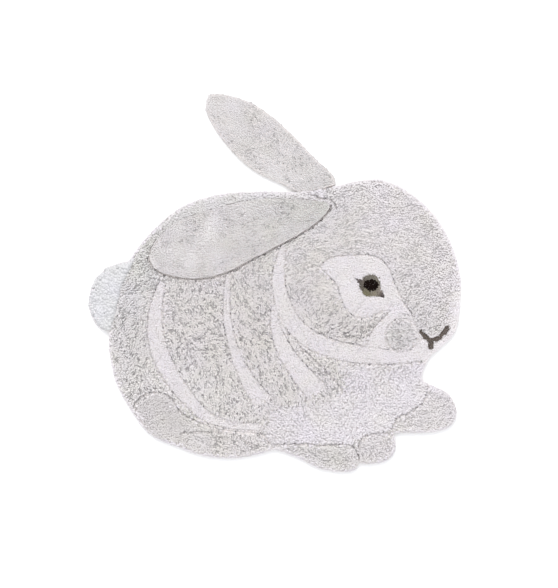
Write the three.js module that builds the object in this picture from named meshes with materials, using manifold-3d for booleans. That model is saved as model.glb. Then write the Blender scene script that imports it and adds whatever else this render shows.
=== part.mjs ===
// A children's rug tufted in the shape of a crouching rabbit. It lies flat, with the rabbit's head at +X.
// The body, head, paws and tail are one piece of cut pile on a canvas ground. The pile is sheared lower in
// the short bands of its coat, and a crease is carved along the edges between its areas of yarn. The two
// ears are flaps of their own: the near one lies on the back, in pile that it presses down, and the far one
// lies on the floor beyond the head, with its root sewn on under the rug.
import * as THREE from "three";
import { mergeVertices } from "three/addons/utils/BufferGeometryUtils.js";
import Module from "manifold-3d";

const wasm = await Module();
wasm.setup();

// Driving dimensions, in millimetres.
const pile = {
  long: 20, // top of the coat's long pile above the floor
  belly: 19, // top of the loose pile of the belly and chest
  short: 16.5, // top of the short pile of the bands, the ruff and the patch round the eye
  pressed: 12, // top of the long pile under the near ear
};
const rim = { reach: 10, drop: 11, steps: 3 }; // how the pile rounds over at the rug's edge
const crease = { width: 10, depth: 8, runIn: 2 }; // carved between two areas, and a little way into a third
const fineCrease = { width: 5, depth: 3 }; // carved round the eye and the mouth
const ear = { thick: 13, rimReach: 7, rimDrop: 6 };
const ditch = { width: 4, sag: 3 }; // round the near ear, and wider along its lower side
const tongue = { thick: 2.2, overlap: 52, slant: 0.3 }; // the far ear's sewn root, partly under the rug
const gap = 0.3; // between two pieces that touch
const over = 5; // how far a cut runs on above the pile
const creaseStep = 17; // length of one straight step along a crease
const edgeSteps = 3; // straight steps from one place of an outline to the next
const roundSteps = 24; // straight steps once round a circle

const at = (x, y) => new THREE.Vector2(x, y);

// The rug's edge, clockwise from the nape. It runs smoothly along a stretch and turns a corner at its end.
const bodyEdge = {
  crown: [at(192, 308), at(250, 321), at(322, 330), at(394, 308), at(460, 263), at(513, 209)],
  nose: [at(551, 146), at(577, 76), at(592, 2), at(588, -76), at(577, -150), at(530, -205), at(494, -234)],
  chest: [at(478, -264), at(466, -297), at(469, -318)],
  frontPaw: [at(512, -337), at(553, -360), at(577, -410), at(560, -456), at(500, -478), at(376, -480)],
  middlePaw: [at(381, -528), at(362, -564), at(317, -579), at(266, -578)],
  hindFoot: [at(248, -600), at(205, -605), at(136, -594), at(67, -558), at(-3, -533)],
  rump: [
    at(-77, -553), at(-150, -562), at(-240, -552), at(-336, -517), at(-404, -485),
    at(-455, -422), at(-509, -326), at(-534, -216), at(-532, -154),
  ],
  tail: [at(-556, -149), at(-582, -122), at(-599, -66), at(-584, -5), at(-539, 46), at(-470, 69)],
  back: [
    at(-426, 130), at(-373, 186), at(-314, 233), at(-243, 265),
    at(-160, 284), at(-60, 290), at(74, 288),
  ],
};

// The ears: a root end and two long sides that meet at a blunt tip.
const nearEarEdge = {
  flap: [
    at(118, 184), at(42, 138), at(-60, 86), at(-150, 38), at(-230, 16),
    at(-310, 18), at(-371, 36), at(-398, 62), at(-401, 98), at(-370, 150),
    at(-300, 200), at(-195, 236), at(-80, 262), at(40, 268), at(160, 256),
  ],
  root: [at(172, 242), at(160, 222)],
};
const farEarEdge = {
  upperSide: [
    at(182, 345), at(130, 392), at(52, 474), at(-36, 549),
    at(-105, 586), at(-178, 604), at(-214, 601),
  ],
  lowerSide: [
    at(-225, 566), at(-212, 520), at(-172, 458), at(-118, 398),
    at(-62, 353), at(5, 322), at(76, 287), at(100, 279),
  ],
  root: [at(124, 283), at(158, 301), at(190, 312)],
};
const tongueRoot = [at(104, 306), at(140, 316), at(176, 324)];

// Short bands of pale pile: the places along the middle of each, and how wide it is there.
const bands = {
  rump: [
    { x: -362, y: 6, wide: 20 },
    { x: -385, y: -77, wide: 37 },
    { x: -388, y: -154, wide: 50 },
    { x: -370, y: -231, wide: 55 },
    { x: -332, y: -303, wide: 52 },
    { x: -276, y: -380, wide: 42 },
    { x: -221, y: -429, wide: 34 },
    { x: -144, y: -456, wide: 24 },
    { x: -48, y: -462, wide: 26 },
  ],
  flank: [
    { x: -152, y: 30, wide: 16 },
    { x: -159, y: -69, wide: 22 },
    { x: -151, y: -154, wide: 26 },
    { x: -127, y: -239, wide: 32 },
    { x: -89, y: -316, wide: 46 },
    { x: -44, y: -380, wide: 62 },
  ],
  shoulder: [
    { x: -6, y: -70, wide: 16 },
    { x: -3, y: -137, wide: 32 },
    { x: 25, y: -214, wide: 48 },
    { x: 74, y: -286, wide: 60 },
    { x: 132, y: -352, wide: 74 },
  ],
  ruff: [
    { x: 24, y: 116, wide: 16 },
    { x: 11, y: 42, wide: 38 },
    { x: 11, y: -26, wide: 44 },
    { x: 39, y: -107, wide: 52 },
    { x: 95, y: -171, wide: 58 },
    { x: 180, y: -212, wide: 60 },
    { x: 274, y: -230, wide: 56 },
    { x: 376, y: -238, wide: 46 },
    { x: 500, y: -226, wide: 44 },
  ],
  cheek: [
    { x: 402, y: -82, wide: 34 },
    { x: 368, y: -115, wide: 36 },
    { x: 342, y: -142, wide: 38 },
    { x: 326, y: -170, wide: 46 },
    { x: 322, y: -206, wide: 64 },
  ],
};

// Closed patches of the coat. The one round the eye has two corners, as the eye has.
const eyePatch = {
  over: [at(175, 79), at(248, 88), at(317, 84), at(358, 52), at(384, -10), at(410, -62), at(440, -108)],
  under: [
    at(376, -92), at(346, -89), at(318, -102), at(290, -113), at(262, -112),
    at(229, -90), at(209, -46), at(196, -4), at(168, 22), at(142, 51),
  ],
};
const chinPatch = [
  at(424, -222), at(452, -196), at(462, -160), at(505, -166), at(545, -128),
  at(560, -86), at(566, -30), at(622, -30), at(622, -210), at(500, -262),
];
const belly = [
  at(-42, -470), at(-30, -440), at(-22, -412), at(16, -398), at(78, -392), at(148, -378), at(196, -356),
  at(224, -330), at(214, -292), at(196, -262), at(262, -268), at(350, -280), at(500, -266), at(520, -330),
  at(474, -374), at(425, -414), at(382, -433), at(360, -474), at(322, -486), at(268, -496), at(244, -516),
  at(150, -522), at(30, -516), at(-12, -514), at(-20, -490),
];
const muzzle = { x: 405, y: -168, radius: 54, ring: 12 }; // a round patch of coat in a pale ring

// Creases that no band or patch draws: between the limbs and the body, and a fold of the neck.
const seams = {
  haunch: [
    at(-458, -398), at(-430, -364), at(-383, -350), at(-340, -366), at(-308, -412), at(-262, -440),
    at(-180, -470), at(-110, -478), at(-50, -486), at(-22, -512), at(-2, -540),
  ],
  hindFoot: [at(-14, -520), at(60, -516), at(150, -521), at(236, -520), at(262, -548), at(268, -585)],
  middlePaw: [at(262, -530), at(272, -500), at(304, -484), at(345, -482), at(384, -492)],
  frontPaw: [at(366, -484), at(382, -436), at(426, -414), at(472, -378), at(486, -322)],
  neck: [at(4, -116), at(52, -176), at(118, -244), at(178, -300), at(222, -352)],
  nape: [at(98, 290), at(140, 270), at(180, 264), at(198, 236)],
  tail: [at(-448, 84), at(-462, 56), at(-490, 0), at(-511, -77), at(-526, -134), at(-535, -164)],
};

// The eye and the mouth, in dark yarn level with the pile round them.
const eye = {
  over: [at(271, 11), at(284, 20), at(308, 27), at(331, 12), at(337, -18), at(349, -45)],
  under: [at(314, -47), at(282, -40), at(266, -14), at(251, 17)],
};
const mouthWidth = 17;
const mouth = {
  leftArm: [at(462, -160), at(480, -178), at(497, -186)],
  rightArm: [at(497, -186), at(526, -178), at(552, -146)],
  lip: [at(497, -186), at(496, -202)],
};

// Materials, in the tones of the yarns.
const finishes = {
  coat: new THREE.MeshStandardMaterial({ color: 0xdad6d4, roughness: 0.96, metalness: 0 }),
  ears: new THREE.MeshStandardMaterial({ color: 0xdcd8d6, roughness: 0.94, metalness: 0 }),
};

// A closed shape from stretches that follow one another, each a smooth curve from the end of the one before.
function shapeOf(stretches) {
  const runs = Object.values(stretches);
  const start = runs.at(-1).at(-1);
  const shape = new THREE.Shape().moveTo(start.x, start.y);
  for (const run of runs) shape.splineThru(run);
  return shape;
}

// A closed shape through places all round, with no corner.
function patchOf(places) {
  const spots = places.map((p) => new THREE.Vector3(p.x, p.y, 0));
  const ring = new THREE.CatmullRomCurve3(spots, true, "centripetal");
  return new THREE.Shape(ring.getPoints(places.length * edgeSteps).map((p) => at(p.x, p.y)));
}

// The points round a shape, moved outwards by a distance.
function grown(shape, distance) {
  const closed = shape.extractPoints(edgeSteps).shape;
  const points = closed.filter((p, i) => p.distanceTo(closed.at(i - 1)) > gap);
  const side = THREE.ShapeUtils.isClockWise(points) ? -1 : 1;
  const moved = points.map((p, i) => {
    const before = points.at(i - 1);
    const after = points[(i + 1) % points.length];
    const along = at(after.x - before.x, after.y - before.y).normalize();
    return at(p.x + side * along.y * distance, p.y - side * along.x * distance);
  });
  return new THREE.Shape(moved);
}

// The middle and the two edges of a band, as curves.
function bandCurves(stations) {
  const middle = new THREE.SplineCurve(stations.map((s) => at(s.x, s.y)));
  const widths = new THREE.SplineCurve(stations.map((s, i) => at(i, s.wide)));
  const steps = stations.length * edgeSteps;
  const left = [];
  const right = [];
  for (let i = 0; i <= steps; i++) {
    const p = middle.getPoint(i / steps);
    const along = middle.getTangent(i / steps);
    const half = widths.getPoint(i / steps).y / 2;
    left.push(at(p.x - along.y * half, p.y + along.x * half));
    right.push(at(p.x + along.y * half, p.y - along.x * half));
  }
  return { left, right, shape: new THREE.Shape([...left, ...right.toReversed()]) };
}

// A closed mesh as a solid that can be joined and cut, and back again.
function solid(geometry) {
  const bare = geometry.clone();
  bare.deleteAttribute("normal");
  bare.deleteAttribute("uv");
  const merged = mergeVertices(bare, 1e-3);
  const vertProperties = merged.attributes.position.array;
  return new wasm.Manifold(new wasm.Mesh({ numProp: 3, vertProperties, triVerts: merged.index.array }));
}
function geometryOf(shaped) {
  const { vertProperties, triVerts } = shaped.getMesh();
  const geometry = new THREE.BufferGeometry();
  geometry.setAttribute("position", new THREE.BufferAttribute(vertProperties, 3));
  geometry.setIndex(new THREE.BufferAttribute(triVerts, 1));
  geometry.computeVertexNormals();
  return geometry;
}

// A plain slab between two heights.
function slab(shape, low, high) {
  const plain = { depth: high - low, bevelEnabled: false, curveSegments: edgeSteps };
  return solid(new THREE.ExtrudeGeometry(shape, plain).translate(0, 0, low));
}

// A slab that stands on a height and whose upper rim rounds over. The extrusion rounds both rims, so it
// starts low enough for the lower one to be cut off.
function roundedSlab(shape, low, high, reach, drop, steps) {
  const geometry = new THREE.ExtrudeGeometry(shape, {
    depth: high - low,
    bevelThickness: drop,
    bevelSize: reach,
    bevelOffset: -reach,
    bevelSegments: steps,
    curveSegments: edgeSteps,
  });
  const whole = solid(geometry.translate(0, 0, low - drop));
  const room = 4000;
  const below = solid(new THREE.BoxGeometry(room, room, room).translate(0, 0, low - room / 2));
  return whole.subtract(below);
}

// A wedge along a line, for carving a crease whose edges are at a height.
function wedge(points, { width, depth }, height) {
  const spots = points.map((p) => new THREE.Vector3(p.x, p.y, height));
  const curve = new THREE.CatmullRomCurve3(spots, false, "centripetal");
  const steps = Math.max(2, Math.round(curve.getLength() / creaseStep));
  // The section's first axis points down along such a flat path, and its second one across it.
  const half = (width / 2) * (1 + over / depth);
  const section = new THREE.Shape([at(-over, -half), at(depth, 0), at(-over, half)]);
  return solid(new THREE.ExtrudeGeometry(section, { steps, extrudePath: curve, bevelEnabled: false }));
}

// The line along each stretch of a closed shape, from the corner at its start.
function edgeLines(stretches) {
  const runs = Object.values(stretches);
  return runs.map((run, i) => [runs.at(i - 1).at(-1), ...run]);
}

// The same wedge once round a circle.
function roundWedge({ x, y, radius }, { width, depth }, height) {
  const half = (width / 2) * (1 + over / depth);
  const inner = at(radius - half, over);
  const section = [inner, at(radius, -depth), at(radius + half, over), inner];
  const turned = new THREE.LatheGeometry(section, roundSteps).rotateX(Math.PI / 2);
  return solid(turned.translate(x, y, height));
}

function circle({ x, y, radius }) {
  return new THREE.Shape().absarc(x, y, radius, 0, Math.PI * 2);
}

const bodyShape = shapeOf(bodyEdge);
const nearEarShape = shapeOf(nearEarEdge);
const farEarShape = shapeOf(farEarEdge);

// The pale areas, and the lines along the edges that are carved.
const paleAreas = [
  ...Object.values(bands).map(bandCurves).map(({ shape, left, right }) => ({ shape, lines: [left, right] })),
  { shape: shapeOf(eyePatch), lines: edgeLines(eyePatch) },
  { shape: patchOf(chinPatch), lines: [] },
  { shape: circle({ ...muzzle, radius: muzzle.radius + muzzle.ring }), lines: [] },
];

const joined = (parts) => parts.reduce((all, part) => all.add(part));

// The pale pile that is sheared short. The muzzle's round patch stands in it at full height.
function shortPile() {
  const cut = joined(paleAreas.map((area) => slab(area.shape, pile.short, pile.long + over)));
  return cut.subtract(slab(circle(muzzle), 0, pile.long + 2 * over));
}

// The creases along the edges of a pale area, without the stretches that run inside another one.
function paleCreases(area) {
  const others = paleAreas.filter((other) => other !== area);
  const cores = others.map((other) => grown(other.shape, -crease.runIn));
  const inside = joined(cores.map((shape) => slab(shape, 0, pile.long + 2 * over)));
  return joined(area.lines.map((line) => wedge(line, crease, pile.long))).subtract(inside);
}

// Every crease between two areas of yarn.
function creases() {
  const pale = paleAreas.filter((area) => area.lines.length > 0);
  const dark = [...edgeLines(eye), ...Object.values(mouth).flatMap(mouthEdges)];
  return joined([
    ...pale.map(paleCreases),
    ...Object.values(seams).map((line) => wedge(line, crease, pile.long)),
    roundWedge(muzzle, crease, pile.long),
    ...dark.map((line) => wedge(line, fineCrease, pile.short)),
  ]);
}

function mouthEdges(line) {
  const { left, right } = bandCurves(line.map((p) => ({ x: p.x, y: p.y, wide: mouthWidth })));
  return [left, right];
}

function body() {
  const whole = roundedSlab(bodyShape, 0, pile.long, rim.reach, rim.drop, rim.steps);
  const earBed = slab(grown(nearEarShape, ditch.width), pile.pressed, pile.long + over);
  return whole
    .subtract(slab(patchOf(belly), pile.belly, pile.long + over))
    .subtract(shortPile())
    .subtract(creases())
    .subtract(earBed.translate([0, -ditch.sag, 0]))
    .subtract(slab(grown(tongueShape(), gap), -over, tongue.thick + gap));
}

// The far ear's root runs on under the rug as a bare tongue of canvas.
function tongueShape() {
  const under = at(tongue.overlap * tongue.slant, -tongue.overlap);
  const far = tongueRoot.map((p) => p.clone().add(under));
  return new THREE.Shape([...tongueRoot, ...far.toReversed()]);
}

function nearEar() {
  const low = pile.pressed + gap;
  return roundedSlab(nearEarShape, low, low + ear.thick, ear.rimReach, ear.rimDrop, rim.steps);
}

function farEar() {
  const flap = roundedSlab(farEarShape, 0, ear.thick, ear.rimReach, ear.rimDrop, rim.steps);
  const clear = slab(grown(bodyShape, gap), -over, pile.long + over);
  const root = slab(tongueShape(), 0, tongue.thick);
  return flap.subtract(clear).add(root);
}

function piece(name, shaped, material) {
  const mesh = new THREE.Mesh(geometryOf(shaped), material);
  mesh.name = name;
  return mesh;
}

const rug = new THREE.Group();
rug.add(
  piece("rug_body", body(), finishes.coat),
  piece("ear_near", nearEar(), finishes.ears),
  piece("ear_far", farEar(), finishes.ears),
);

// The origin is on the floor, at the middle of the whole rug's length and width.
const middle = new THREE.Box3().setFromObject(rug).getCenter(new THREE.Vector3());
rug.position.set(-middle.x, -middle.y, 0);

export default rug;
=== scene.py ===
import math
import bmesh
import bpy
import numpy as np
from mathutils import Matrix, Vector, noise
from mathutils.bvhtree import BVHTree
from mathutils.kdtree import KDTree


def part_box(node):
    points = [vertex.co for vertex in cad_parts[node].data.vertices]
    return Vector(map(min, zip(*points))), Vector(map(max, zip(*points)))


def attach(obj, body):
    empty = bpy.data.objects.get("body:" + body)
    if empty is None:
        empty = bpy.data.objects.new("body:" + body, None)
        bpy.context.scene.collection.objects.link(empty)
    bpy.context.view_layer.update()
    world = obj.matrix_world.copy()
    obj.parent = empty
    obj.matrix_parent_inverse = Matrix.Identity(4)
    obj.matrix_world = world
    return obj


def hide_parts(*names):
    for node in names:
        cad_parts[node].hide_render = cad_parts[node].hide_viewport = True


# A child's rug in the shape of a crouching rabbit, in cut cotton pile.
# The solids give the pile's outline, its heights, its carved creases and its rounded rim, and the yarn is
# planted on them tuft by tuft.

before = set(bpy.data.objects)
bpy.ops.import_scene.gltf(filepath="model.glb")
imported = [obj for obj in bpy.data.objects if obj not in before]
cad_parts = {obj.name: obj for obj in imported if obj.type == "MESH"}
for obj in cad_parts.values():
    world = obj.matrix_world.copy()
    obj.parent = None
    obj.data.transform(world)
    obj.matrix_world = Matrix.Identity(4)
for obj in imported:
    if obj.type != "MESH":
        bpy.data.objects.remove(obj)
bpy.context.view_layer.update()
bodyLow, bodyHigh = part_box("rug_body")

# Places on the rug are metres from the lower left corner of the body, seen from above.
heights = {
    "canvas": 0.003,  # thickness of the ground cloth
    "belly": 0.019,
    "pale": 0.0165,
    "pressed": 0.012,  # pile under the near ear
    "core": 0.62,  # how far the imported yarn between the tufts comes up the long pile
    "shortCore": 0.78,  # and up the short pile
    "same": 0.0004,  # heights that differ by less count as equal
    "above": 0.3,  # where a ray down on to the rug starts
}


def report(stage):
    print("rug:", stage)


def linear(tone):
    share = np.asarray(tone, float) / 255.0
    return np.where(share <= 0.04045, share / 12.92, ((share + 0.055) / 1.055) ** 2.4)


def rgba(tone):
    return (*linear(tone).tolist(), 1.0)


# materials

def newMaterial(name, roughness, sheen=0.0, gloss=0.2):
    material = bpy.data.materials.new(name)
    material.use_nodes = True
    nodes = material.node_tree.nodes
    shader = nodes["Principled BSDF"]
    shader.inputs["Roughness"].default_value = roughness
    shader.inputs["Specular IOR Level"].default_value = gloss
    shader.inputs["Sheen Weight"].default_value = sheen
    shader.inputs["Sheen Roughness"].default_value = 0.6
    return material, nodes, material.node_tree.links, shader


def noiseNode(nodes, links, scale, detail, stretch=None):
    place = nodes.new("ShaderNodeTexCoord")
    texture = nodes.new("ShaderNodeTexNoise")
    texture.inputs["Scale"].default_value = scale
    texture.inputs["Detail"].default_value = detail
    source = place.outputs["Object"]
    if stretch:
        mapping = nodes.new("ShaderNodeMapping")
        mapping.inputs["Scale"].default_value = stretch
        links.new(source, mapping.inputs["Vector"])
        source = mapping.outputs["Vector"]
    links.new(source, texture.inputs["Vector"])
    return texture


def rampNode(nodes, links, source, tones, stops):
    ramp = nodes.new("ShaderNodeValToRGB")
    for element, tone, stop in zip(ramp.color_ramp.elements, tones, stops):
        element.color = tone
        element.position = stop
    links.new(source, ramp.inputs["Fac"])
    return ramp.outputs["Color"]


def bumpNode(nodes, links, height, shader, strength, distance):
    bump = nodes.new("ShaderNodeBump")
    bump.inputs["Strength"].default_value = strength
    bump.inputs["Distance"].default_value = distance
    links.new(height, bump.inputs["Height"])
    links.new(bump.outputs["Normal"], shader.inputs["Normal"])


yarnLook = {
    "fibre": 1500.0,
    "detail": 3.0,
    "stretch": (1.0, 1.0, 0.25),
    "fleck": 0.16,
    "stops": (0.3, 0.65),
    "bump": 0.35,
    "bumpDepth": 0.0003,
    "roughness": 0.93,
    "sheen": 0.12,
    "gloss": 0.2,
}


def yarnMaterial(name, roughness=yarnLook["roughness"], sheen=yarnLook["sheen"], gloss=yarnLook["gloss"]):
    material, nodes, links, shader = newMaterial(name, roughness, sheen, gloss)
    tint = nodes.new("ShaderNodeAttribute")
    tint.attribute_name = "yarnTint"
    fibre = noiseNode(nodes, links, yarnLook["fibre"], yarnLook["detail"], yarnLook["stretch"])
    tones = ((1 - yarnLook["fleck"],) * 3 + (1,), (1, 1, 1, 1))
    flecks = rampNode(nodes, links, fibre.outputs["Fac"], tones, yarnLook["stops"])
    mix = nodes.new("ShaderNodeMix")
    mix.data_type = "RGBA"
    mix.blend_type = "MULTIPLY"
    mix.inputs["Factor"].default_value = 1.0
    links.new(tint.outputs["Color"], mix.inputs[6])
    links.new(flecks, mix.inputs[7])
    links.new(mix.outputs[2], shader.inputs["Base Color"])
    bumpNode(nodes, links, fibre.outputs["Fac"], shader, yarnLook["bump"], yarnLook["bumpDepth"])
    return material


canvasLook = {
    "thread": 0.0018,
    "band": 0.314,  # length of a wave texture's band at scale 1
    "distortion": 0.6,
    "detail": 1.0,
    "light": (214, 205, 190),
    "dark": (176, 165, 148),
    "stops": (0.0, 0.6),
    "bump": 0.8,
    "bumpDepth": 0.0006,
    "roughness": 0.9,
    "sheen": 0.1,
}


def canvasMaterial():
    material, nodes, links, shader = newMaterial("groundCanvas", canvasLook["roughness"], canvasLook["sheen"])
    place = nodes.new("ShaderNodeTexCoord")
    threads = []
    for direction in ("X", "Y"):
        wave = nodes.new("ShaderNodeTexWave")
        wave.wave_type = "BANDS"
        wave.bands_direction = direction
        wave.inputs["Scale"].default_value = canvasLook["band"] / canvasLook["thread"]
        wave.inputs["Distortion"].default_value = canvasLook["distortion"]
        wave.inputs["Detail"].default_value = canvasLook["detail"]
        links.new(place.outputs["Object"], wave.inputs["Vector"])
        threads.append(wave.outputs["Fac"])
    weave = nodes.new("ShaderNodeMath")
    weave.operation = "MULTIPLY"
    links.new(threads[0], weave.inputs[0])
    links.new(threads[1], weave.inputs[1])
    tones = (rgba(canvasLook["dark"]), rgba(canvasLook["light"]))
    colour = rampNode(nodes, links, weave.outputs[0], tones, canvasLook["stops"])
    links.new(colour, shader.inputs["Base Color"])
    bumpNode(nodes, links, weave.outputs[0], shader, canvasLook["bump"], canvasLook["bumpDepth"])
    return material


coreLook = {
    "light": (226, 220, 218),
    "dark": (186, 179, 176),
    "stops": (0.35, 0.65),
    "scale": 260.0,
    "detail": 4.0,
    "bump": 0.8,
    "bumpDepth": 0.001,
    "roughness": 0.95,
}


def coreMaterial():
    material, nodes, links, shader = newMaterial("packedYarn", coreLook["roughness"])
    grain = noiseNode(nodes, links, coreLook["scale"], coreLook["detail"])
    tones = (rgba(coreLook["dark"]), rgba(coreLook["light"]))
    colour = rampNode(nodes, links, grain.outputs["Fac"], tones, coreLook["stops"])
    links.new(colour, shader.inputs["Base Color"])
    bumpNode(nodes, links, grain.outputs["Fac"], shader, coreLook["bump"], coreLook["bumpDepth"])
    return material


materials = {
    "coat": yarnMaterial("coatYarn"),
    "pale": yarnMaterial("paleYarn"),
    "ear": yarnMaterial("earYarn"),
    "dark": yarnMaterial("darkYarn", roughness=0.95, sheen=0.0, gloss=0.02),
    "canvas": canvasMaterial(),
    "core": coreMaterial(),
}
report("materials made")


# camera, floor and light

viewLook = {
    "lens": 85.0,
    "sensor": 36.0,
    "pixel": 0.0032,  # one pixel of the picture on the rug
    "pixelsHigh": 588,
    "centre": (0.6083, 0.5683),
}


def makeCamera():
    data = bpy.data.cameras.new("camera")
    data.lens = viewLook["lens"]
    data.sensor_width = viewLook["sensor"]
    camera = bpy.data.objects.new("camera", data)
    tall = viewLook["pixel"] * viewLook["pixelsHigh"]
    x, y = viewLook["centre"]
    up = bodyHigh.z + tall * viewLook["lens"] / viewLook["sensor"]
    camera.location = (bodyLow.x + x, bodyLow.y + y, up)
    bpy.context.scene.collection.objects.link(camera)
    bpy.context.scene.camera = camera


lightLook = {
    "sunPower": 1.5,
    "sunSpread": 30.0,
    "sunHeight": 42.0,  # degrees above the floor
    "sunFrom": 105.0,  # degrees from +X towards +Y
    "sky": 1.22,
    "skyTone": (250, 251, 254),
    "floorTone": (246, 246, 246),
    "floorRoughness": 0.9,
}


def makeLight():
    data = bpy.data.lights.new("key", "SUN")
    data.energy = lightLook["sunPower"]
    data.angle = math.radians(lightLook["sunSpread"])
    key = bpy.data.objects.new("key", data)
    lift = math.radians(lightLook["sunHeight"])
    turn = math.radians(lightLook["sunFrom"])
    away = Vector((math.cos(turn) * math.cos(lift), math.sin(turn) * math.cos(lift), math.sin(lift)))
    key.rotation_euler = away.to_track_quat("Z", "Y").to_euler()
    key.location = away * 4
    bpy.context.scene.collection.objects.link(key)
    world = bpy.data.worlds.new("studio")
    world.use_nodes = True
    sky = world.node_tree.nodes["Background"]
    sky.inputs["Color"].default_value = rgba(lightLook["skyTone"])
    sky.inputs["Strength"].default_value = lightLook["sky"]
    bpy.context.scene.world = world


def makeFloor():
    bm = bmesh.new()
    bmesh.ops.create_grid(bm, x_segments=1, y_segments=1, size=8.0)
    mesh = bpy.data.meshes.new("floor")
    bm.to_mesh(mesh)
    bm.free()
    floor = bpy.data.objects.new("floor", mesh)
    bpy.context.scene.collection.objects.link(floor)
    material, _, _, shader = newMaterial("paleFloor", lightLook["floorRoughness"])
    shader.inputs["Base Color"].default_value = rgba(lightLook["floorTone"])
    mesh.materials.append(material)


makeCamera()
makeLight()
makeFloor()
bpy.context.scene.view_settings.view_transform = "Standard"
report("camera, light and floor made")


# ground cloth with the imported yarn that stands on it

groundLook = {"weld": 0.00001, "coreFrom": 1.1, "facesDown": -0.9}


def solidMesh(node):
    bm = bmesh.new()
    bm.from_mesh(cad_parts[node].data)
    bmesh.ops.remove_doubles(bm, verts=bm.verts, dist=groundLook["weld"])
    return bm


def solidTree(node):
    bm = solidMesh(node)
    tree = BVHTree.FromBMesh(bm)
    bm.free()
    return tree


trees = {node: solidTree(node) for node in ("rug_body", "ear_near", "ear_far")}


def look(node, x, y):
    # the height and the normal of a solid's upper side at a place, or None for both where there is none
    place, normal = trees[node].ray_cast(Vector((x, y, heights["above"])), Vector((0, 0, -1)))[:2]
    return (place.z, normal) if place else (None, None)


def heightAt(node, x, y):
    return look(node, x, y)[0]


def addPiece(name, mesh, node):
    piece = bpy.data.objects.new(name, mesh)
    bpy.context.scene.collection.objects.link(piece)
    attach(piece, "root")
    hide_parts(node)
    return piece


def coreHeight(z, low):
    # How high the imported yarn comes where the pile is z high. Under the near ear, where it is pressed, that
    # is all of z.
    canvasTop = low + heights["canvas"]
    if z <= canvasTop:
        return z
    if low == 0.0 and abs(z - heights["pressed"]) < heights["same"] / 2:
        return z
    share = heights["core"] if z > (bodyHigh.z + heights["pale"]) / 2 else heights["shortCore"]
    return canvasTop + (z - canvasTop) * share


def groundPiece(name, node):
    low = round(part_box(node)[0].z, 5)
    coreFrom = low + heights["canvas"] * groundLook["coreFrom"]
    bm = solidMesh(node)
    for vert in bm.verts:
        vert.co.z = coreHeight(vert.co.z, low)
    for face in bm.faces:
        face.material_index = 1 if face.calc_center_median().z > coreFrom else 0
    area = sum(face.calc_area() for face in bm.faces if face.normal.z < groundLook["facesDown"])
    mesh = bpy.data.meshes.new(name)
    bm.to_mesh(mesh)
    bm.free()
    mesh.materials.append(materials["canvas"])
    mesh.materials.append(materials["core"])
    return addPiece(name, mesh, node), area


# tufts

tuftLook = {
    "profile": [(0.0, 1.0), (1.0, 0.78)],  # height and radius, from root to tip
    "sides": 5,
    "bend": 1.4,  # a tuft bends over more towards its tip
    # painted shade: a tuft's tint is darker at its root and lighter at its tip
    "paintedRootShade": 0.92,
    "paintedTipLight": 0.08,
    "rooted": 0.002,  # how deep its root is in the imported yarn
    "shortest": 0.002,
}


def unitTuft(profile, sides):
    # one yarn end standing on its root: a tube of unit radius and height, closed at its tip
    bm = bmesh.new()
    bmesh.ops.create_circle(bm, cap_ends=True, segments=sides, radius=profile[0][1])
    level, radius = profile[0]
    for nextLevel, nextRadius in profile[1:]:
        top = max(bm.faces, key=lambda f: f.calc_center_median().z + f.normal.z * 0.01)
        made = bmesh.ops.extrude_face_region(bm, geom=[top])
        bmesh.ops.delete(bm, geom=[top], context="FACES_ONLY")
        verts = [g for g in made["geom"] if isinstance(g, bmesh.types.BMVert)]
        bmesh.ops.translate(bm, verts=verts, vec=(0, 0, nextLevel - level))
        grow = nextRadius / radius
        bmesh.ops.scale(bm, verts=verts, vec=(grow, grow, 1))
        level, radius = nextLevel, nextRadius
    bmesh.ops.recalc_face_normals(bm, faces=bm.faces)
    bm.verts.index_update()
    points = np.array([v.co[:] for v in bm.verts])
    faces = [[v.index for v in f.verts] for f in bm.faces]
    tip = max(bm.faces, key=lambda f: f.calc_center_median().z)
    if tip.normal.z < 0:
        faces = [f[::-1] for f in faces]
    bm.free()
    return points, faces


tuftShape = unitTuft(tuftLook["profile"], tuftLook["sides"])


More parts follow.
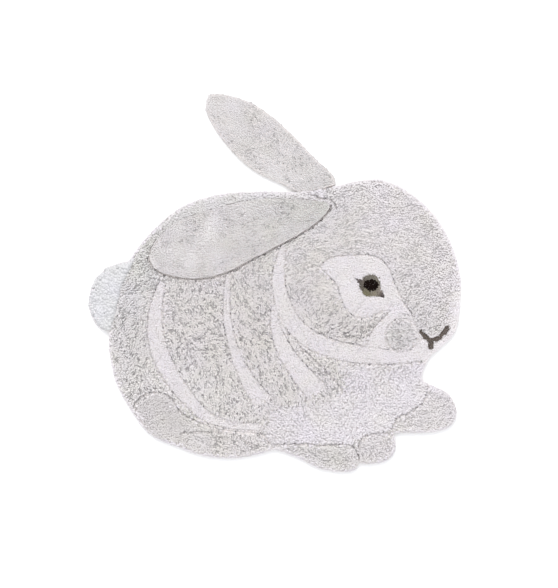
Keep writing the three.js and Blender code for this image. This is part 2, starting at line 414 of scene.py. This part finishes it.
def joinedTufts(name, tufts, material, seed):
    # many copies of the tuft in one mesh, each with its own place, height, radius, lean and tint, the tint
    # painted darker towards the root as painted shade down in the pile
    rng = np.random.default_rng(seed)
    points, faces = tuftShape
    count = len(tufts["x"])
    turn = rng.uniform(0, 2 * math.pi, count)[:, None]
    radius = tufts["radius"][:, None]
    along = points[None, :, 2]
    bend = along ** tuftLook["bend"]
    across = points[None, :, 0] * np.cos(turn) - points[None, :, 1] * np.sin(turn)
    beside = points[None, :, 0] * np.sin(turn) + points[None, :, 1] * np.cos(turn)
    place = np.empty((count, len(points), 3))
    place[:, :, 0] = tufts["x"][:, None] + across * radius + tufts["leanX"][:, None] * bend
    place[:, :, 1] = tufts["y"][:, None] + beside * radius + tufts["leanY"][:, None] * bend
    place[:, :, 2] = tufts["root"][:, None] + (tufts["top"] - tufts["root"])[:, None] * along
    sizes = np.array([len(f) for f in faces])
    corners = np.concatenate([np.array(f) for f in faces])
    allCorners = (corners[None, :] + np.arange(count)[:, None] * len(points)).ravel()
    starts = np.concatenate([[0], np.cumsum(sizes)[:-1]])
    allStarts = (starts[None, :] + np.arange(count)[:, None] * len(corners)).ravel()
    mesh = bpy.data.meshes.new(name)
    mesh.vertices.add(count * len(points))
    mesh.vertices.foreach_set("co", place.ravel())
    mesh.loops.add(len(allCorners))
    mesh.loops.foreach_set("vertex_index", allCorners.astype(np.int32))
    mesh.polygons.add(count * len(faces))
    mesh.polygons.foreach_set("loop_start", allStarts.astype(np.int32))
    mesh.polygons.foreach_set("use_smooth", np.ones(count * len(faces), bool))
    mesh.update(calc_edges=True)
    tints = np.ones((count, len(points), 4), np.float32)
    # painted shade down in the pile: darker at the root, lighter at the tip
    shade = tuftLook["paintedRootShade"] + tuftLook["paintedTipLight"] * points[None, :, 2:3]
    tints[:, :, :3] = tufts["tint"][:, None, :] * shade
    layer = mesh.attributes.new("yarnTint", "FLOAT_COLOR", "POINT")
    layer.data.foreach_set("color", tints.ravel())
    mesh.materials.append(material)
    return mesh


rowLook = {"step": 0.866, "scatter": 0.42}  # shares of the spacing: from row to row, and off a root's place


def plantingPlaces(low, high, spacing, seed):
    # rows of roots, every second row set half a step over, each root a little off its place
    rng = np.random.default_rng(seed)
    rows = np.arange(low.y, high.y, spacing * rowLook["step"])
    places = []
    for index, y in enumerate(rows):
        xs = np.arange(low.x + (index % 2) * spacing / 2, high.x, spacing)
        places.append(np.stack([xs, np.full(len(xs), y)], 1))
    places = np.concatenate(places)
    return places + rng.uniform(-rowLook["scatter"], rowLook["scatter"], places.shape) * spacing


# the outermost row of tufts follows the edge
edgeRow = {
    "spacing": 0.0042,
    "inset": 0.0022,
    "bare": 0.0046,  # the other rows start this far in
    "kept": 0.0040,  # they lean no nearer to the edge than this
    "calm": 0.018,  # the pile gets more even within this distance of the edge
    "rough": 0.15,
    # painted shade darkens the rim on its sunlit upper side, and painted light brightens it on its shaded
    # lower side
    "sunlitRimPaintedShade": 0.07,
    "shadedRimPaintedLight": -0.03,
    "wall": 0.1,
    "beyond": 0.004,
}


def solidEdge(node):
    # places along the lower edge of a solid, with the way out at each
    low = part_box(node)[0].z
    bm = solidMesh(node)
    found = []
    for edge in bm.edges:
        if max(vert.co.z for vert in edge.verts) > low + heights["same"]:
            continue
        walls = [face.normal for face in edge.link_faces if abs(face.normal.z) < edgeRow["wall"]]
        if not walls:
            continue
        start, end = edge.verts[0].co.copy(), edge.verts[1].co.copy()
        steps = max(1, round((end - start).length / edgeRow["spacing"]))
        for step in range(steps):
            place = start.lerp(end, (step + 0.5) / steps)
            beyond = place + walls[0] * edgeRow["beyond"]
            if heightAt(node, beyond.x, beyond.y) is None:
                found.append((place.x, place.y, walls[0].x, walls[0].y))
    bm.free()
    return np.array(found)


def placeTree(places):
    tree = KDTree(len(places))
    for index, (x, y) in enumerate(places[:, :2]):
        tree.insert((x, y, 0), index)
    tree.balance()
    return tree


edges = {node: solidEdge(node) for node in trees}
edgeTrees = {node: placeTree(places) for node, places in edges.items()}


seedShift = 7.31  # how far each seed moves the noise


def fieldNoise(places, size, seed):
    shift = seed * seedShift
    return np.array([noise.noise(Vector((x / size + shift, y / size - shift, shift))) for x, y in places])


# How the pile drifts from place to place: the size of its patches, how strongly it drifts, and a number that
# keeps one drift apart from the next.
drifts = {
    "layWide": dict(size=0.090, strength=0.9, number=0),
    "layClose": dict(size=0.020, strength=0.7, number=1),
    "lift": dict(size=0.024, strength=1.0, number=2),
    "crease": dict(size=0.011, strength=2.0, number=7),
    "warmth": dict(size=0.055, strength=1.0, number=9),
    "hanging": dict(size=0.010, strength=1.0, number=11),
    "earReach": dict(size=0.009, strength=0.8, number=13),
    "mottle": dict(size=0.050, strength=1.0, number=15),
    "earShade": dict(size=0.014, strength=1.5, number=17),
    "rough": dict(size=0.060, strength=1.5, number=19),
    "ragged": dict(size=0.013, strength=1.0, number=21),
}


def drift(kind, places, seed):
    chosen = drifts[kind]
    return fieldNoise(places, chosen["size"], seed + chosen["number"]) * chosen["strength"]


# what grows where. A region is its left, right, low and high limit.

tailSeam = {
    "region": (-0.01, 0.16, 0.44, 0.70),
    "y": (0.441, 0.471, 0.528, 0.605, 0.664, 0.680),
    "x": (0.064, 0.073, 0.088, 0.109, 0.139, 0.147),
}
eyePlan = {
    "edge": [
        (0.854, 0.620), (0.875, 0.614), (0.888, 0.627), (0.900, 0.631), (0.912, 0.632), (0.923, 0.627),
        (0.930, 0.620), (0.932, 0.608), (0.935, 0.588), (0.940, 0.574), (0.947, 0.564), (0.947, 0.556),
        (0.930, 0.561), (0.888, 0.562), (0.880, 0.568), (0.872, 0.581), (0.868, 0.592),
    ],
    "pupil": (0.9040, 0.5975),
    "pupilSize": (0.0235, 0.0185),
    "region": (0.84, 0.96, 0.54, 0.64),
    "uneven": (0.008, 0.35, 3.3),
    "soft": 0.004,
    "tones": [
        dict(at=(0.860, 0.612), tone=(98, 90, 88)),
        dict(at=(0.870, 0.590), tone=(96, 90, 84)),
        dict(at=(0.905, 0.628), tone=(120, 115, 106)),
        dict(at=(0.928, 0.612), tone=(128, 122, 112)),
        dict(at=(0.932, 0.585), tone=(146, 137, 128)),
        dict(at=(0.942, 0.562), tone=(92, 84, 82)),
        dict(at=(0.915, 0.566), tone=(134, 127, 112)),
        dict(at=(0.888, 0.568), tone=(126, 121, 98)),
    ],
}
mouthPlan = {
    "arms": [
        [(1.066, 0.448), (1.079, 0.431), (1.095, 0.420)],
        [(1.095, 0.420), (1.119, 0.426), (1.135, 0.441), (1.151, 0.462)],
        [(1.095, 0.420), (1.096, 0.397)],
    ],
    "width": 0.0155,
    "region": (1.05, 1.17, 0.38, 0.48),
    "uneven": (0.012, 0.3, 0.0),
}


def insideEdge(x, y, edge):
    inside = False
    for (ax, ay), (bx, by) in zip(edge, edge[1:] + edge[:1]):
        if (ay > y) != (by > y) and x < (bx - ax) * (y - ay) / (by - ay) + ax:
            inside = not inside
    return inside


def distanceToLine(x, y, line):
    best = 1.0
    for (ax, ay), (bx, by) in zip(line, line[1:]):
        dx, dy = bx - ax, by - ay
        t = max(0.0, min(1.0, ((x - ax) * dx + (y - ay) * dy) / (dx * dx + dy * dy)))
        best = min(best, math.hypot(x - ax - dx * t, y - ay - dy * t))
    return best


def inRegion(x, y, region):
    left, right, low, high = region
    return left < x < right and low < y < high


def unevenEdge(x, y, size, strength, level):
    return 1 + strength * noise.noise(Vector((x / size, y / size, level)))


def darkArea(x, y):
    if inRegion(x, y, eyePlan["region"]) and insideEdge(x, y, eyePlan["edge"]):
        (cx, cy), (sx, sy) = eyePlan["pupil"], eyePlan["pupilSize"]
        ragged = unevenEdge(x, y, *eyePlan["uneven"])
        return "pupil" if ((x - cx) / sx) ** 2 + ((y - cy) / sy) ** 2 < ragged else "iris"
    if inRegion(x, y, mouthPlan["region"]):
        uneven = unevenEdge(x, y, *mouthPlan["uneven"])
        if min(distanceToLine(x, y, arm) for arm in mouthPlan["arms"]) < mouthPlan["width"] / 2 * uneven:
            return "mouth"
    return None


def flatArea(z):
    if z > bodyHigh.z - heights["same"]:
        return "coat"
    if abs(z - heights["belly"]) < heights["same"]:
        return "belly"
    if abs(z - heights["pale"]) < heights["same"]:
        return "pale"
    return None


# where two areas meet, their yarns mingle, and near the edge of the rug no crease is looked for
meeting = {"size": 0.010, "mingle": 0.030, "apart": (7.3, 2.9, 5.1), "rimReach": 0.010}
# on a slope the area is looked for up the slope, step by step
climb = {"from": 0.004, "by": 0.003, "to": 0.02, "flat": 0.05}
# two lines that are only parted in the pile: the top of the hind foot and the side of its toes. The tufts
# there stand lower and get the painted shade of a crease
footPlan = {
    "region": (0.27, 0.60, -0.01, 0.14),
    "lines": [
        [
            (0.290, 0.122), (0.349, 0.129), (0.404, 0.129), (0.456, 0.127),
            (0.482, 0.114), (0.505, 0.094), (0.537, 0.080),
        ],
        [(0.549, 0.126), (0.566, 0.111), (0.577, 0.098), (0.583, 0.080)],
    ],
    "reach": 0.0060,
    "deep": 0.0060,
}
# the pale yarn goes on round the far side of the muzzle in a narrow line
muzzlePlan = {
    "region": (0.97, 1.07, 0.42, 0.52),
    "line": [(0.986, 0.508), (1.012, 0.498), (1.034, 0.485), (1.047, 0.463), (1.053, 0.434)],
    "reach": 0.0068,
}


def uphillArea(x, y, z, normal):
    # the height and the area of the flat pile that a place belongs to
    slope = Vector((normal.x, normal.y))
    uphill = -slope.normalized() if slope.length > climb["flat"] else Vector((0, 1))
    level, area = z, flatArea(z)
    step = climb["from"]
    while area is None and step < climb["to"]:
        level = heightAt("rug_body", x + uphill.x * step, y + uphill.y * step) or z
        area = flatArea(level)
        step += climb["by"]
    return level, area


def strayedArea(x, y, z):
    # the area a little aside, so that the yarns mingle where two areas meet
    stray = Vector((x / meeting["size"], y / meeting["size"], 0.0))
    aside = Vector((noise.noise(stray), noise.noise(stray + Vector(meeting["apart"])))) * meeting["mingle"]
    return flatArea(heightAt("rug_body", x + aside.x, y + aside.y) or z)


def bodyArea(x, y):
    # the height of the pile at a place on the body, the area of yarn that it belongs to, and how far it is
    # sunk in a crease
    z, normal = look("rug_body", x, y)
    if z is None or heightAt("ear_near", x, y):
        return None
    px, py = x - bodyLow.x, y - bodyLow.y
    level, area = uphillArea(x, y, z, normal)
    area = darkArea(px, py) or strayedArea(x, y, z) or area or "coat"
    parted = 0.0
    if area == "coat":
        if inRegion(px, py, tailSeam["region"]) and px < np.interp(py, tailSeam["y"], tailSeam["x"]):
            return (z + level) / 2, "tail", 0.0
        muzzle = inRegion(px, py, muzzlePlan["region"])
        if muzzle and distanceToLine(px, py, muzzlePlan["line"]) < muzzlePlan["reach"]:
            return min(z, heights["pale"]), "pale", 0.0
        if inRegion(px, py, footPlan["region"]):
            gap = min(distanceToLine(px, py, line) for line in footPlan["lines"])
            parted = max(0.0, 1 - gap / footPlan["reach"]) * footPlan["deep"]
    return z - parted, area, max(0.0, level - z + parted)


# how each area is tufted. wander and lean lay the tufts over, pull draws them into clumps, patch and even
# vary their tone, and where two clumps part the tufts are shorter by depth and darker by shadow, a painted
# shade
areaLook = {
    "coat": dict(
        grid="long", radius=0.0024, lean=0.0060, wander=0.34, pull=0.40, lift=0.0008,
        even=0.055, patch=0.030, closed=0.96, depth=0.0054, shadow=0.70,
    ),
    "belly": dict(
        grid="thick", radius=0.0036, lean=0.0048, wander=0.45, pull=0.30, lift=0.0007,
        even=0.024, patch=0.08, closed=1.26, depth=0.0036, shadow=0.38,
    ),
    "tail": dict(
        grid="short", radius=0.0064, lean=0.0050, wander=0.4, pull=0.20, lift=0.0002,
        even=0.010, patch=0.02, closed=2.00, depth=0.0, shadow=0.0,
    ),
    "pale": dict(
        grid="short", radius=0.0033, lean=0.0030, wander=0.6, pull=0.20, lift=0.0004,
        even=0.018, patch=0.05, closed=1.35, depth=0.0016, shadow=0.25,
    ),
    "iris": dict(
        grid="fine", radius=0.0029, lean=0.0012, wander=0.8, pull=0.05, lift=0.0005,
        even=0.110, patch=0.25, closed=2.0, depth=0.0, shadow=0.0,
    ),
    "pupil": dict(
        grid="fine", radius=0.0030, lean=0.0012, wander=0.8, pull=0.05, lift=0.0005,
        even=0.100, patch=0.20, closed=2.0, depth=0.0, shadow=0.0,
    ),
    "mouth": dict(
        grid="fine", radius=0.0026, lean=0.0014, wander=0.8, pull=0.05, lift=0.0008,
        even=0.130, patch=0.35, closed=2.0, depth=0.0, shadow=0.0,
    ),
}
gridSpacing = {"long": 0.0040, "thick": 0.0052, "short": 0.0046, "fine": 0.0034}
# a clump is longer along the lay, and draws its tufts in more across it than along it
clumpLook = {"spacing": 0.0070, "long": 2.8, "parting": 0.0018, "fewest": 8, "near": 6, "alongPull": 0.4}
# held is the share of its lean that a tuft keeps where it would hang over a crease, and shadow is the painted
# shade that darkens a tuft sunk in a crease
creaseLook = {
    "deep": 0.0055,
    "shadow": 0.50,
    "evenShade": 0.80,
    "held": 0.30,
    "sunk": 0.001,
    "drop": 0.002,
    "loose": 0.0,
    "darkest": 1.5,
}
# the pile beside the near ear, below it in the picture, is pressed down, and a painted shadow of the ear
# darkens its tint
besideEar = {
    "reach": 0.0088,
    "fade": 0.0028,
    "down": 0.0060,
    "shadow": 0.78,
    "evenShade": 0.9,
    "held": 0.014,
    "lower": 0.2,
    "far": 1.0,
}

# the coat is tufted in lots of yarn that differ a little, and so does the way the pile lies
coatLots = [
    dict(at=(0.95, 0.80), tone=(230, 225, 225), lay=182, rough=0.64),
    dict(at=(1.12, 0.62), tone=(229, 224, 224), lay=205, rough=0.70),
    dict(at=(0.78, 0.60), tone=(226, 221, 219), lay=205, rough=0.70),
    dict(at=(0.87, 0.45), tone=(227, 222, 220), lay=215, rough=1.20),
    dict(at=(0.66, 0.40), tone=(229, 224, 223), lay=312, rough=1.00),
    dict(at=(0.52, 0.45), tone=(230, 225, 222), lay=300, rough=1.05),
    dict(at=(0.40, 0.60), tone=(231, 226, 224), lay=293, rough=1.05),
    dict(at=(0.35, 0.44), tone=(233, 228, 226), lay=325, rough=1.10),
    dict(at=(0.25, 0.52), tone=(231, 226, 225), lay=350, rough=0.95),
    dict(at=(0.15, 0.36), tone=(228, 224, 222), lay=255, rough=1.05),
    dict(at=(0.17, 0.66), tone=(221, 219, 216), lay=225, rough=0.95),
    dict(at=(0.13, 0.56), tone=(226, 223, 222), lay=190, rough=1.00),
    dict(at=(0.26, 0.83), tone=(215, 212, 211), lay=205, rough=0.25),
    dict(at=(0.38, 0.88), tone=(216, 213, 212), lay=195, rough=0.25),
    dict(at=(0.53, 0.90), tone=(220, 217, 217), lay=190, rough=0.40),
    dict(at=(0.70, 0.87), tone=(226, 222, 222), lay=185, rough=0.75),
    dict(at=(0.27, 0.28), tone=(232, 228, 226), lay=270, rough=1.00),
    dict(at=(0.37, 0.20), tone=(232, 228, 225), lay=300, rough=1.00),
    dict(at=(0.22, 0.22), tone=(207, 202, 201), lay=320, rough=0.12, under=True),
    dict(at=(0.26, 0.17), tone=(207, 202, 201), lay=320, rough=0.12, under=True),
    dict(at=(0.27, 0.10), tone=(219, 214, 212), lay=325, rough=0.40, under=True),
    dict(at=(0.34, 0.12), tone=(225, 221, 218), lay=325, rough=0.65, under=True),
    dict(at=(0.42, 0.08), tone=(229, 224, 222), lay=335, rough=1.05),
    dict(at=(0.74, 0.04), tone=(222, 218, 216), lay=350, rough=0.78),
    dict(at=(0.92, 0.07), tone=(224, 219, 218), lay=280, rough=0.62),
    dict(at=(1.10, 0.18), tone=(225, 220, 221), lay=0, rough=0.62),
    dict(at=(1.00, 0.435), tone=(222, 218, 218), lay=200, rough=0.90),
]
otherTones = {
    "belly": (225, 220, 222),
    "tail": (209, 208, 209),
    "pale": (225, 220, 221),
    "pupil": (26, 18, 16),
    "mouth": (104, 95, 89),
    "earNear": (216, 212, 211),
    "earNearRoot": (210, 208, 205),
    "earFar": (210, 206, 205),
    "earFarRoot": (208, 205, 203),
}

# the upper edge of the haunch and hind leg, which the smooth lots lie under
haunchLine = {
    "x": (0.120, 0.162, 0.209, 0.250, 0.268, 0.286, 0.311, 0.342, 0.389, 0.424, 0.600),
    "y": (0.150, 0.222, 0.253, 0.253, 0.238, 0.210, 0.189, 0.174, 0.153, 0.135, 0.100),
}
lotBlend = {"soft": 0.03, "power": 3}


def onBody(places):
    return places - np.array([bodyLow.x, bodyLow.y])


def lotShares(places, lots, soft=lotBlend["soft"]):
    spots = np.array([lot["at"] for lot in lots])
    distance = np.linalg.norm(places[:, None, :] - spots[None], axis=2)
    weight = 1 / (distance + soft) ** lotBlend["power"]
    above = places[:, 1] > np.interp(places[:, 0], haunchLine["x"], haunchLine["y"])
    under = np.array([lot.get("under", False) for lot in lots])
    weight[above[:, None] & under[None]] = 0
    return weight / weight.sum(1)[:, None]


def lotTone(places, lots, soft=lotBlend["soft"]):
    return lotShares(places, lots, soft) @ np.array([lot["tone"] for lot in lots], float)


def coatRough(places):
    return lotShares(places, coatLots) @ np.array([lot["rough"] for lot in coatLots])


def layAngles(places, seed, lay=None):
    # the pile lies as the lots say, or in one way on an ear, and wanders a little
    if lay is None:
        turns = np.radians([lot["lay"] for lot in coatLots])
        shares = lotShares(onBody(places), coatLots)
        angles = np.arctan2(shares @ np.sin(turns), shares @ np.cos(turns))
    else:
        angles = np.full(len(places), math.radians(lay))
    return angles + drift("layWide", places, seed) + drift("layClose", places, seed)


def clumpFields(places, lay, closed, seed):
    # Tufts fall in with small clumps. This gives the way from each tuft to the middle of its clump, how
    # near it is to an open parting between two clumps, and the clump's own share.
    rng = np.random.default_rng(seed)
    low, high = places.min(0), places.max(0)
    count = max(clumpLook["fewest"], int(np.prod((high - low) / clumpLook["spacing"])))
    middles = rng.uniform(low, high, (count, 2))
    loose, own = rng.uniform(0, 1, (2, count))
    tree = placeTree(middles)
    pull = np.zeros_like(places)
    parting = np.zeros(len(places))
    share = np.zeros(len(places))
    for row, ((x, y), angle) in enumerate(zip(places, lay)):
        cos, sin = math.cos(angle), math.sin(angle)
        near = []
        for middle, index, distance in tree.find_n((x, y, 0), clumpLook["near"]):
            dx, dy = middle.x - x, middle.y - y
            along, across = dx * cos + dy * sin, dy * cos - dx * sin
            near.append((math.hypot(along / clumpLook["long"], across), index, along, across))
        near.sort()
        (gap, first, along, across), (nextGap, second) = near[0], near[1][:2]
        less = clumpLook["alongPull"]
        towards = np.array([cos * less * along - sin * across, sin * less * along + cos * across])
        pull[row] = towards * loose[first] ** 2
        share[row] = own[first] - 0.5
        if loose[first] + loose[second] > closed:
            parting[row] = max(0.0, 1 - (nextGap - gap) / clumpLook["parting"])
    return pull, parting, share


def overCrease(tips, tops):
    # whether a tuft that lies over would hang across a crease or the ditch round the near ear
    def below(x, y, top):
        z = heightAt("rug_body", x, y)
        return z is not None and z < top - creaseLook["drop"]

    return np.array([below(x, y, top) for (x, y), top in zip(tips, tops)])


def earDistance(places):
    # how far a place is from the near ear, where it lies below the ear in the picture
    outY = edges["ear_near"][:, 3]
    found = [edgeTrees["ear_near"].find((x, y, 0))[1:] for x, y in places]
    nearest = np.array([index for index, distance in found])
    distances = np.array([distance for index, distance in found])
    return np.where(outY[nearest] < besideEar["lower"], distances, besideEar["far"])


# clumps is added to the seed of the piece, and each piece after the belly is otherStep further on
seeds = {"grid": 11, "coat": 31, "other": 51, "otherStep": 7, "earNear": 71, "earFar": 83, "clumps": 5}

# columns of the rows that are planted
rowColumns = {"place": slice(0, 2), "z": 2, "out": slice(3, 5), "sunk": 5, "edge": 6, "outermost": 7}

# How far single tufts differ, as shares of the usual. The draws in tuftTable come in a fixed order.
varied = {
    "reach": (0.55, 1.3),
    "parting": (0.6, 1.0),
    "overhang": (0.3, 1.7),
    "radius": (0.85, 1.15),
    "roughRange": (0.3, 1.9),
    "calmer": 0.6,  # how much less a tuft in smooth pile wanders
    "lift": 0.6,
    "clumpLift": 2,
    "lighter": 0.5,
    "darker": 1.4,
    "swell": 0.15,  # how much wider a tuft is in smooth pile
    "warmth": (0.006, 0.011, -0.026),
}
usual = {"overhang": 0.0014, "ragged": 0.0, "mottle": 0.01}


def pileRough(places, looks, inner, seed):
    # how rough the pile is at each place, with and without the calm rim
    if "rough" in looks:
        rough = np.clip(looks["rough"] + drift("rough", places, seed), *varied["roughRange"])
    else:
        rough = coatRough(onBody(places))
    rimRough = looks.get("rimRough", edgeRow["rough"])
    return rough * (rimRough + (1 - rimRough) * inner), rough


def tuftTable(rows, roots, looks, tone, seed):
    rng = np.random.default_rng(seed)
    looks = {**usual, **looks}
    places, tops, out, sunk, edge, outermost = (rows[:, column] for column in rowColumns.values())
    count = len(places)
    inner = np.clip(edge / edgeRow["calm"], 0, 1)
    rough, ownRough = pileRough(places, looks, inner, seed)
    smooth = 1 - np.minimum(1, ownRough)

    # where it leans, without hanging over a crease or over the edge
    lay = layAngles(places, seed, looks.get("lay"))
    angle = lay + rng.normal(0, looks["wander"], count) * (1 - varied["calmer"] * smooth)
    reach = looks["lean"] * rng.uniform(*varied["reach"], count)
    pull, parting, share = clumpFields(places, lay, looks["closed"], seed + seeds["clumps"])
    parting = parting * np.minimum(1, rough) * rng.uniform(*varied["parting"], count)
    lean = np.stack([np.cos(angle), np.sin(angle)], 1) * reach[:, None] + pull * looks["pull"]
    toEar = np.ones(count) if "lay" in looks else earDistance(places)
    hanging = overCrease(places + lean, tops)
    hanging &= drift("hanging", places, seed) > creaseLook["loose"]
    held = (sunk > creaseLook["sunk"]) | hanging | (toEar < besideEar["held"])
    lean = lean * np.where(held, creaseLook["held"], 1.0)[:, None]
    outward = np.sum(lean * out, axis=1) - np.maximum(0, edge - edgeRow["kept"])
    lean = lean - out * np.maximum(0, outward)[:, None]
    ragged = 1 + looks["ragged"] * drift("ragged", places, seed)
    overhang = outermost * rng.uniform(*varied["overhang"], count) * looks["overhang"] * ragged
    lean = lean + out * overhang[:, None]

    # how high it stands
    beside = besideEar["reach"] * (1 + drift("earReach", places, seed))
    pressed = np.clip((beside - toEar) / besideEar["fade"], 0, 1)
    lift = rng.normal(0, looks["lift"] * varied["lift"], count) + drift("lift", places, seed) * looks["lift"]
    lift = (lift + share * looks["lift"] * varied["clumpLift"]) * rough
    lift = lift - parting * looks["depth"] - pressed * besideEar["down"]

    # how light it is: the yarn's own tone, with painted shade and painted light added
    uneven = rng.normal(0, looks["even"], count)
    uneven = np.where(uneven > 0, varied["lighter"], varied["darker"]) * uneven
    shade = 1 + (uneven + share * looks["patch"]) * rough + drift("mottle", places, seed) * looks["mottle"]
    # painted shade in creases: the deeper a tuft is sunk, the darker its tint
    creaseShade = creaseLook["evenShade"] + drift("crease", places, seed)
    crease = np.clip(np.clip(sunk / creaseLook["deep"], 0, 1) * creaseShade, 0, creaseLook["darkest"])
    # painted shade: tufts at an open parting are tinted darker by shadow, besides standing lower
    shade = shade * (1 - parting * looks["shadow"] * rough) * (1 - crease * creaseLook["shadow"])
    # painted shadow of the near ear on the pile below it
    earShade = besideEar["evenShade"] + drift("earShade", places, seed)
    shade = shade * (1 - pressed * besideEar["shadow"] * earShade)
    # painted shade on the sunlit upper rim, painted light on the shaded lower rim
    rimShade = np.where(out[:, 1] > 0, edgeRow["sunlitRimPaintedShade"] * out[:, 1], edgeRow["shadedRimPaintedLight"])
    shade = shade * (1 - rimShade * (1 - inner))
    warmth = drift("warmth", places, seed)[:, None] * np.array(varied["warmth"])

    swell = 1 + varied["swell"] - varied["swell"] * np.minimum(1, rough) + varied["swell"] * smooth
    return {
        "x": places[:, 0],
        "y": places[:, 1],
        "root": roots,
        "top": np.maximum(tops + lift, roots + tuftLook["shortest"]),
        "radius": looks["radius"] * rng.uniform(*varied["radius"], count) * swell,
        "leanX": lean[:, 0],
        "leanY": lean[:, 1],
        "tint": np.clip(linear(tone) * shade[:, None] * (1 + warmth), 0, 1),
    }


def edgeRows(node, measure):
    # the row of tufts along the edge of a solid: measure gives height, area and depth in a crease
    found = []
    for x, y, outX, outY in edges[node]:
        px, py = x - outX * edgeRow["inset"], y - outY * edgeRow["inset"]
        seen = measure(px, py)
        if seen:
            z, area, sunk = seen
            found.append((area, (px, py, z, outX, outY, 0.0, edgeRow["inset"], 1.0)))
    return found


def bodyTufts():
    found = {area: [] for area in areaLook}
    for area, row in edgeRows("rug_body", bodyArea):
        found[area].append(row)
    for index, (grid, spacing) in enumerate(gridSpacing.items()):
        wanted = {area for area, looks in areaLook.items() if looks["grid"] == grid}
        for x, y in plantingPlaces(bodyLow, bodyHigh, spacing, seeds["grid"] + index):
            if grid == "fine" and not darkArea(x - bodyLow.x, y - bodyLow.y):
                continue
            z, area, sunk = bodyArea(x, y) or (None, None, None)
            if area not in wanted:
                continue
            nearest, distance = edgeTrees["rug_body"].find((x, y, 0))[1:]
            if distance < edgeRow["bare"]:
                continue
            sunk = sunk if distance > meeting["rimReach"] else 0.0
            found[area].append((x, y, z, *edges["rug_body"][nearest, 2:], sunk, distance, 0.0))
    return {area: np.array(rows) for area, rows in found.items()}


# the coat is cut into pieces, and each takes what the ones before it leave
coatPieces = {
    "coatHead": lambda x, y: (x > 0.62) & (y > 0.36),
    "coatLimbs": lambda x, y: y < 0.20,
    "coatRump": lambda x, y: (x < 0.24) & (y >= 0.20),
    "coatBack": lambda x, y: y > 0.62,
    "coatFlank": lambda x, y: y <= 0.62,
}
otherPieces = {
    "belly": "bellyPile",
    "tail": "tailPile",
    "pale": "palePile",
    "iris": "eyeRing",
    "pupil": "eyePupil",
    "mouth": "mouthLine",
}


def plant(name, rows, looks, tone, material, node, seed, low=0.0):
    roots = np.array([coreHeight(z, low) for z in rows[:, 2]]) - tuftLook["rooted"]
    mesh = joinedTufts(name, tuftTable(rows, roots, looks, tone, seed), material, seed)
    mesh.calc_loop_triangles()
    report(f"{name} has {len(rows)} tufts, {len(mesh.loop_triangles)} triangles")
    return addPiece(name, mesh, node)


def makeCoat(coat):
    spots = onBody(coat[:, :2])
    tones = lotTone(spots, coatLots)
    left = np.ones(len(coat), bool)
    looks, material = areaLook["coat"], materials["coat"]
    tufts = []
    for name, test in coatPieces.items():
        mine = left & test(spots[:, 0], spots[:, 1])
        left &= ~mine
        tufts.append(plant(name, coat[mine], looks, tones[mine], material, "rug_body", seeds["coat"]))
    return tufts


def makeOthers(found):
    tufts = []
    for index, (area, name) in enumerate(otherPieces.items()):
        rows = found[area]
        if area == "iris":
            tone = lotTone(onBody(rows[:, :2]), eyePlan["tones"], eyePlan["soft"])
        else:
            tone = np.tile(np.array(otherTones[area], float), (len(rows), 1))
        material = materials["dark"] if area in ("iris", "pupil", "mouth") else materials["pale"]
        seed = seeds["other"] + index * seeds["otherStep"]
        tufts.append(plant(name, rows, areaLook[area], tone, material, "rug_body", seed))
    return tufts


def makeBody():
    ground, area = groundPiece("rugGround", "rug_body")
    found = bodyTufts()
    tufts = makeCoat(found["coat"]) + makeOthers(found)


# the pile of an ear is rougher at its root
earLook = dict(
    spacing=0.0044, radius=0.0028, lean=0.0036, wander=0.34, pull=0.26, lift=0.0005,
    even=0.022, patch=0.07, closed=1.28, depth=0.0022, shadow=0.32,
    overhang=0.0012, ragged=2.4, mottle=0.08, rimRough=0.7,
)
earPlan = {"pileFrom": 0.004, "rootReach": 0.30, "rootRough": 1.7, "calmer": 0.7}


def makeEar(name, node, rootAt, lay):
    ground, area = groundPiece(name + "Ground", node)
    low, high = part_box(node)

    def measure(x, y):
        z = heightAt(node, x, y)
        return None if z is None or z < low.z + earPlan["pileFrom"] else (z, name, 0.0)

    rows = [row for _, row in edgeRows(node, measure)]
    for x, y in plantingPlaces(low, high, earLook["spacing"], seeds[name]):
        seen = measure(x, y)
        nearest, distance = edgeTrees[node].find((x, y, 0))[1:]
        if seen and distance > edgeRow["bare"]:
            rows.append((x, y, seen[0], *edges[node][nearest, 2:], 0.0, distance, 0.0))
    rows = np.array(rows)
    spots = onBody(rows[:, :2])
    fromRoot = np.hypot(spots[:, 0] - rootAt[0], spots[:, 1] - rootAt[1])
    away = np.clip(fromRoot / earPlan["rootReach"], 0, 1)[:, None]
    tone = np.array(otherTones[name + "Root"]) * (1 - away) + np.array(otherTones[name]) * away
    looks = dict(earLook, lay=lay, rough=earPlan["rootRough"] - earPlan["calmer"] * away[:, 0])
    flatLow = round(low.z, 5)
    pile = plant(name + "Pile", rows, looks, tone, materials["ear"], node, seeds[name], flatLow)


makeBody()
report("body made")
makeEar("earNear", "ear_near", (0.76, 0.84), 194)
makeEar("earFar", "ear_far", (0.76, 0.90), 141)
report("ears made")
